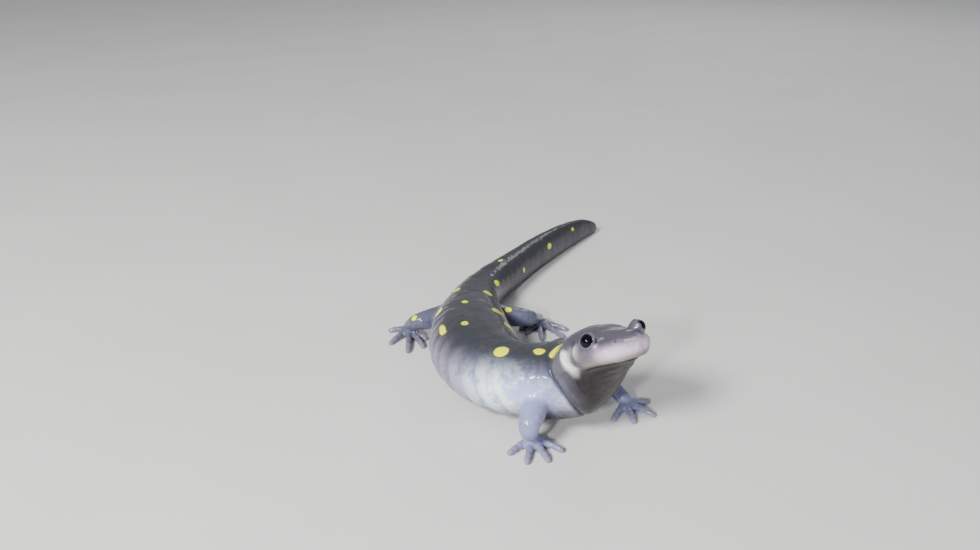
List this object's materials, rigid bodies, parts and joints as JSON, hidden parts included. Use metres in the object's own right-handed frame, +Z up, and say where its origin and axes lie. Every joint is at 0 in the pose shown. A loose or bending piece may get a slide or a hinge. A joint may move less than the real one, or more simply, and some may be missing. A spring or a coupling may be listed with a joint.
{
  "type": "spotted salamander",
  "caption": "Still life-size model of a spotted salamander, head raised and turned, forelegs propped, body curled to one side, belly and tail resting on the floor.",
  "frame": {"origin": "on the floor, under the middle of the whole model's box", "axes": "+Y towards the tail, +Z up; the head looks towards -Y and +X"},
  "size_m": [0.073, 0.1553, 0.0334],
  "materials": {
    "back_skin": "wet slate-grey skin with yellow spots, life-like model",
    "head_skin": "wet purplish grey skin",
    "throat_skin": "wet grey-brown skin",
    "limb_skin": "wet lavender-grey skin",
    "eye": "polished near-black eye"
  },
  "bodies": {
    "root": {"head": "head_skin", "lower_jaw": "throat_skin", "eye_left": "eye", "eye_right": "eye", "neck": "head_skin", "trunk_front": "back_skin", "trunk_middle": "back_skin", "trunk_rear": "back_skin", "tail_base": "back_skin", "tail_middle": "back_skin", "tail_tip": "back_skin", "upper_arm_left": "limb_skin", "upper_arm_right": "limb_skin", "forearm_left": "limb_skin", "forearm_right": "limb_skin", "hand_left": "limb_skin", "hand_right": "limb_skin", "thigh_left": "limb_skin", "thigh_right": "limb_skin", "shank_left": "limb_skin", "shank_right": "limb_skin", "foot_left": "limb_skin", "foot_right": "limb_skin"}
  },
  "joints": []
}
